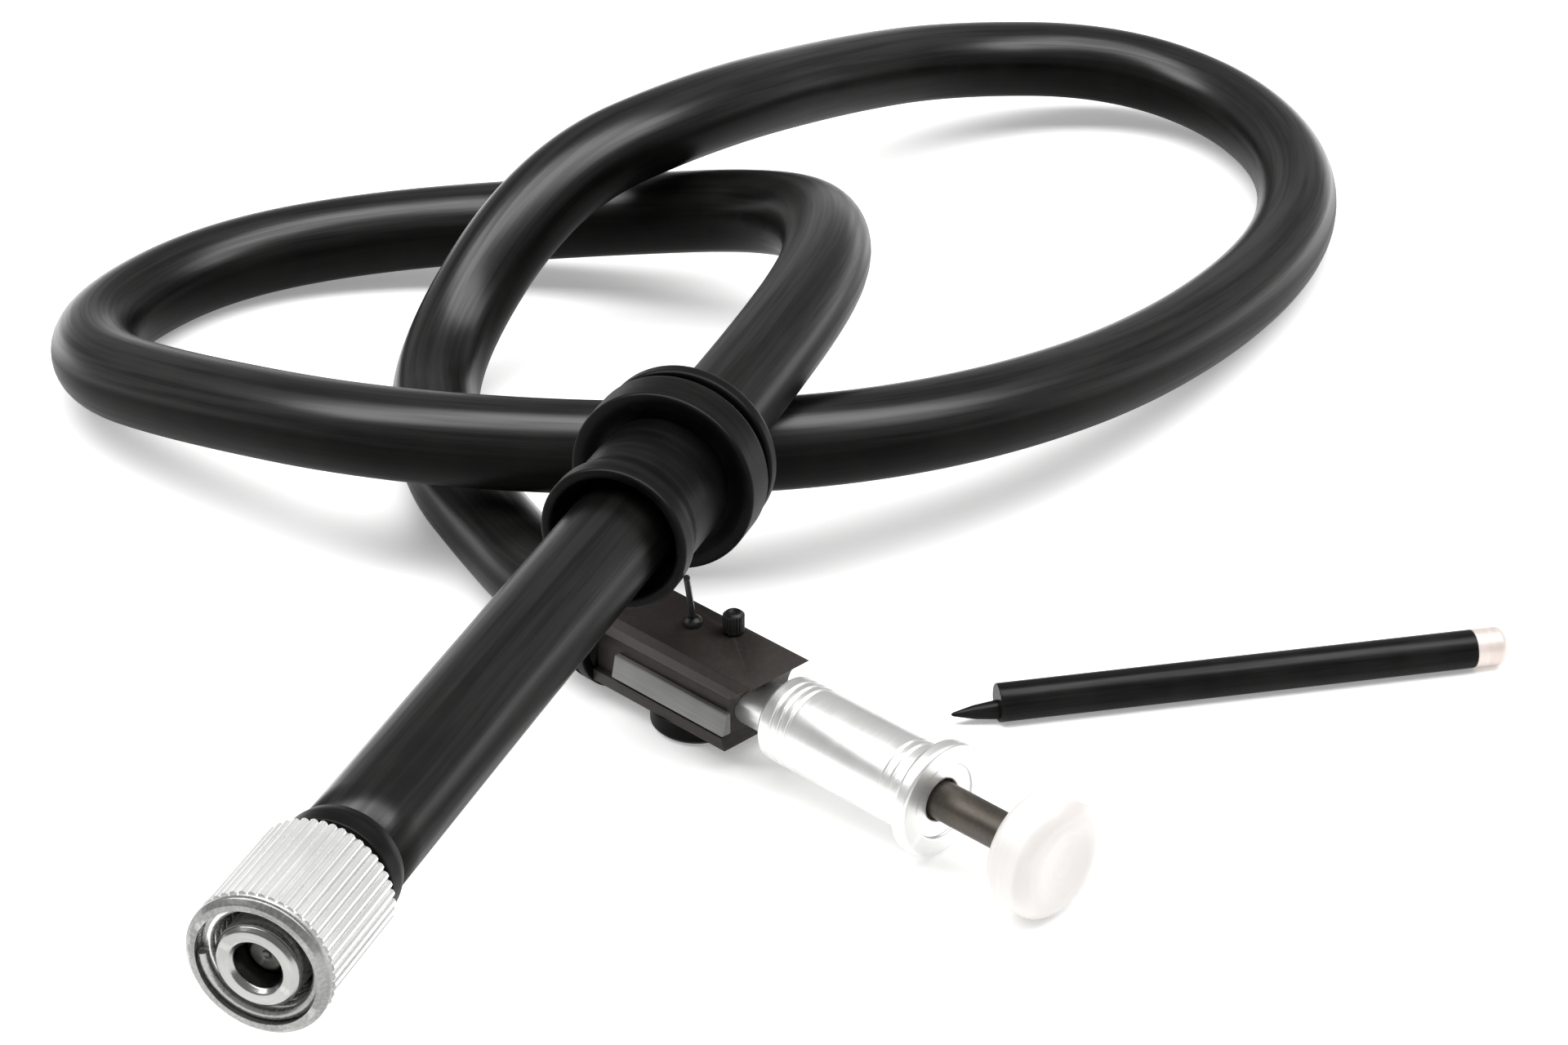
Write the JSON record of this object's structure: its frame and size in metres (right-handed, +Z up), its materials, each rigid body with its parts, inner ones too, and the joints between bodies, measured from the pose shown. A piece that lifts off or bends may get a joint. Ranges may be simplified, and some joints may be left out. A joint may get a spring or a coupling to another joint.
{
  "type": "cable shutter release",
  "caption": "Rubber-sheathed cable with a knurled coupling nut and push pin at one end, a panel grommet on it, and a sprung thumb plunger at the other.",
  "frame": {"origin": "on the floor, under the middle of the box that holds every piece except the cable itself", "axes": "+Z up from the floor; the camera end points towards -Y and -X, the plunger towards +X and -Y, and the loops of cable lie towards +Y"},
  "size_m": [0.08, 0.119, 0.0178],
  "materials": {
    "rubber_black": "satin extruded rubber",
    "moulded_black": "fine moulded rubber",
    "steel_liner": "wound steel",
    "nut_silver": "knurled, bright",
    "nozzle_steel": "turned, bright",
    "brass_inner": "turned",
    "pin_steel": "dark turned steel",
    "housing_grey": "fine moulded, brown-grey",
    "strip_grey": "matte light grey",
    "barrel_silver": "bright satin",
    "plunger_dark": "blackened",
    "button_pale": "pale, faintly warm",
    "spring_steel": "drawn wire",
    "screw_black": "blackened screw",
    "spare_black": "black finish",
    "spare_tip": "pale warm metal"
  },
  "bodies": {
    "root": {"barrel": "barrel_silver", "cable_boot": "moulded_black", "finger_flange": "barrel_silver", "foot": "moulded_black", "foot_screw": "screw_black", "front_ferrule": "brass_inner", "grommet": "moulded_black", "grommet_collar": "moulded_black", "guide_bush": "brass_inner", "housing": "housing_grey", "inner_wire": "steel_liner", "liner": "steel_liner", "nozzle": "nozzle_steel", "nut_washer": "brass_inner", "rear_ferrule": "brass_inner", "return_spring": "spring_steel", "sheath": "rubber_black", "sheath_band": "moulded_black", "side_strip": "strip_grey", "tether_stud": "screw_black", "tether_wire": "screw_black"},
    "nut": {"coupling_nut": "nut_silver"},
    "pin": {"push_pin": "pin_steel"},
    "plunger": {"plunger": "plunger_dark", "stop_collar": "pin_steel", "button": "button_pale"},
    "lock": {"lock_screw": "screw_black"},
    "spare": {"spare_pin": "spare_black", "spare_pin_cap": "spare_tip"}
  },
  "joints": [
    {"name": "plunger_press", "type": "slide", "parent": "root", "child": "plunger", "axis": [-0.7071, 0.7071, 0], "range_m": [0, 0.0045], "stiffness_N_per_m": 150, "springref_m": -0.003, "deforming": ["return_spring"]},
    {"name": "pin_push", "type": "slide", "parent": "root", "child": "pin", "axis": [-0.3467, -0.938, 0], "range_m": [0, 0.0045]},
    {"name": "nut_turn", "type": "hinge", "parent": "root", "child": "nut", "pos_m": [-0.02756, -0.02278, 0.013], "axis": [0.3467, 0.938, 0], "continuous": true},
    {"name": "lock_turn", "type": "hinge", "parent": "root", "child": "lock", "pos_m": [-0.00919, 0.01578, 0.0053], "axis": [0, 0, 1], "range_deg": [0, 270]},
    {"name": "spare_lift", "type": "slide", "parent": "root", "child": "spare", "axis": [0, 0, 1], "range_m": [0, 0.02]}
  ],
  "couplings": [
    {"joint": "pin_push", "follows": "plunger_press", "ratio": 1}
  ]
}
